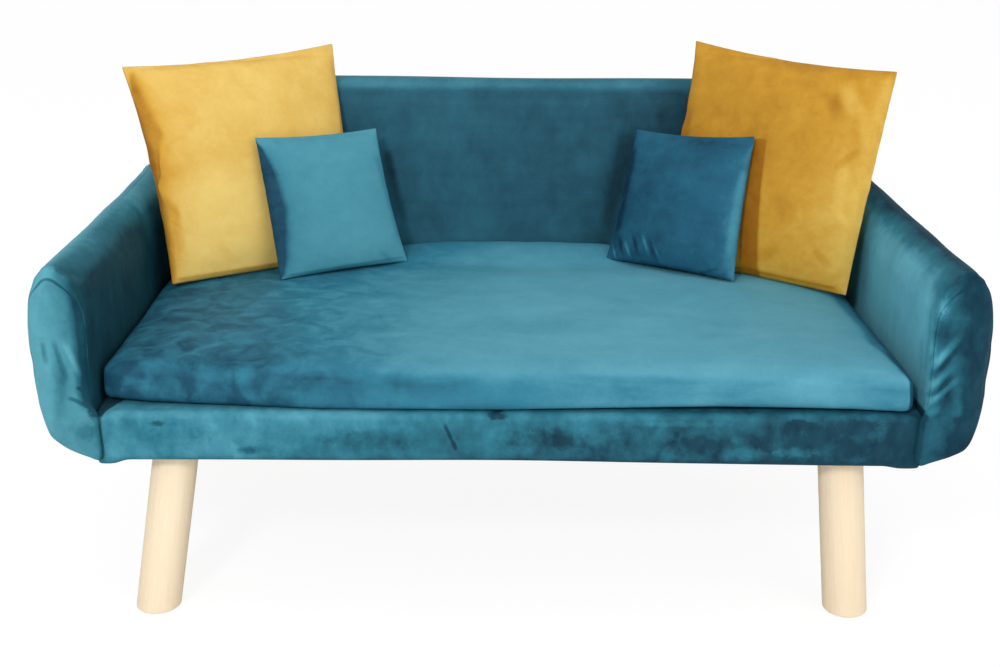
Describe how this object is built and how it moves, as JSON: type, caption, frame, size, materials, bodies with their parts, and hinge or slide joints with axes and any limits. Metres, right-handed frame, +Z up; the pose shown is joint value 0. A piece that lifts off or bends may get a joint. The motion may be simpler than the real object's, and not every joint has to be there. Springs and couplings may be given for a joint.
{
  "type": "dog sofa bed",
  "caption": "Raised upholstered sofa for a small dog, with two arms, a leaning back, a loose seat cushion, throw cushions and splayed round wooden legs.",
  "frame": {"origin": "on the floor, under the middle of the sofa's overall box", "axes": "+X to the sofa's right as seen from the front, +Y to the rear, +Z up"},
  "size_m": [1, 0.583, 0.5697],
  "materials": {
    "pine_leg": "sanded pale pine, clear matt lacquer",
    "frame_pine": "planed pine, unfinished",
    "plywood": "plywood, unfinished",
    "zinc_steel": "bright zinc plate",
    "insert_brass": "turned",
    "zip_metal": "polished zinc alloy",
    "zip_tape": "teal moulded teeth",
    "foam": "open-cell upholstery foam",
    "fibre_filling": "hollow fibre filling",
    "frame_velvet": "short-pile teal velvet",
    "seat_velvet": "short-pile teal velvet, pile brushed light",
    "small_cushion_velvet": "short-pile teal velvet",
    "mustard_velvet": "short-pile mustard velvet",
    "dust_cloth": "black spun-bonded cloth",
    "glide_felt": "dense grey felt"
  },
  "bodies": {
    "frame": {"front_rail": "frame_pine", "rear_rail": "frame_pine", "side_rail_left": "frame_pine", "side_rail_right": "frame_pine", "centre_rail": "frame_pine", "leg_blocks": "frame_pine", "seat_deck": "plywood", "frame_screws": "zinc_steel", "deck_screws": "zinc_steel", "leg_front_left": "pine_leg", "leg_front_right": "pine_leg", "leg_rear_left": "pine_leg", "leg_rear_right": "pine_leg", "hanger_bolts": "zinc_steel", "leg_inserts": "insert_brass", "floor_glides": "glide_felt", "base_pad": "foam", "base_cover": "frame_velvet", "dust_cover": "dust_cloth", "dust_cover_staples": "zinc_steel", "arm_core_left": "plywood", "arm_core_right": "plywood", "arm_batten_left": "frame_pine", "arm_batten_right": "frame_pine", "arm_foam_left": "foam", "arm_foam_right": "foam", "arm_cover_left": "frame_velvet", "arm_cover_right": "frame_velvet", "arm_bolts": "zinc_steel", "arm_washers": "zinc_steel", "arm_t_nuts": "zinc_steel", "back_core": "plywood", "back_batten": "frame_pine", "back_foam": "foam", "back_cover": "frame_velvet", "back_bolts": "zinc_steel", "back_washers": "zinc_steel", "back_t_nuts": "zinc_steel"},
    "seat_cushion": {"seat_foam": "foam", "seat_cover": "seat_velvet", "seat_zip": "zip_tape"},
    "zip_slider": {"seat_zip_slider": "zip_metal"},
    "zip_pull": {"seat_zip_pull": "zip_metal"},
    "big_cushion_left": {"big_left_cover": "mustard_velvet", "big_left_filling": "fibre_filling"},
    "big_cushion_right": {"big_right_cover": "mustard_velvet", "big_right_filling": "fibre_filling"},
    "small_cushion_left": {"small_left_cover": "small_cushion_velvet", "small_left_filling": "fibre_filling"},
    "small_cushion_right": {"small_right_cover": "small_cushion_velvet", "small_right_filling": "fibre_filling"}
  },
  "joints": [
    {"name": "seat_lift", "type": "slide", "parent": "frame", "child": "seat_cushion", "axis": [0, 0, 1], "range_m": [0, 0.3]},
    {"name": "big_left_lift", "type": "slide", "parent": "seat_cushion", "child": "big_cushion_left", "axis": [0, 0, 1], "range_m": [0, 0.25]},
    {"name": "big_right_lift", "type": "slide", "parent": "seat_cushion", "child": "big_cushion_right", "axis": [0, 0, 1], "range_m": [0, 0.25]},
    {"name": "small_left_lift", "type": "slide", "parent": "big_cushion_left", "child": "small_cushion_left", "axis": [0, -0.5, 0.866], "range_m": [0, 0.26]},
    {"name": "small_right_lift", "type": "slide", "parent": "big_cushion_right", "child": "small_cushion_right", "axis": [0, -0.5, 0.866], "range_m": [0, 0.26]},
    {"name": "zip_slide", "type": "slide", "parent": "seat_cushion", "child": "zip_slider", "axis": [-1, 0, 0], "range_m": [0, 0.532]},
    {"name": "zip_pull_hinge", "type": "hinge", "parent": "zip_slider", "child": "zip_pull", "pos_m": [0.266, 0.17923, 0.2768], "axis": [1, 0, 0], "range_deg": [0, 10]}
  ]
}
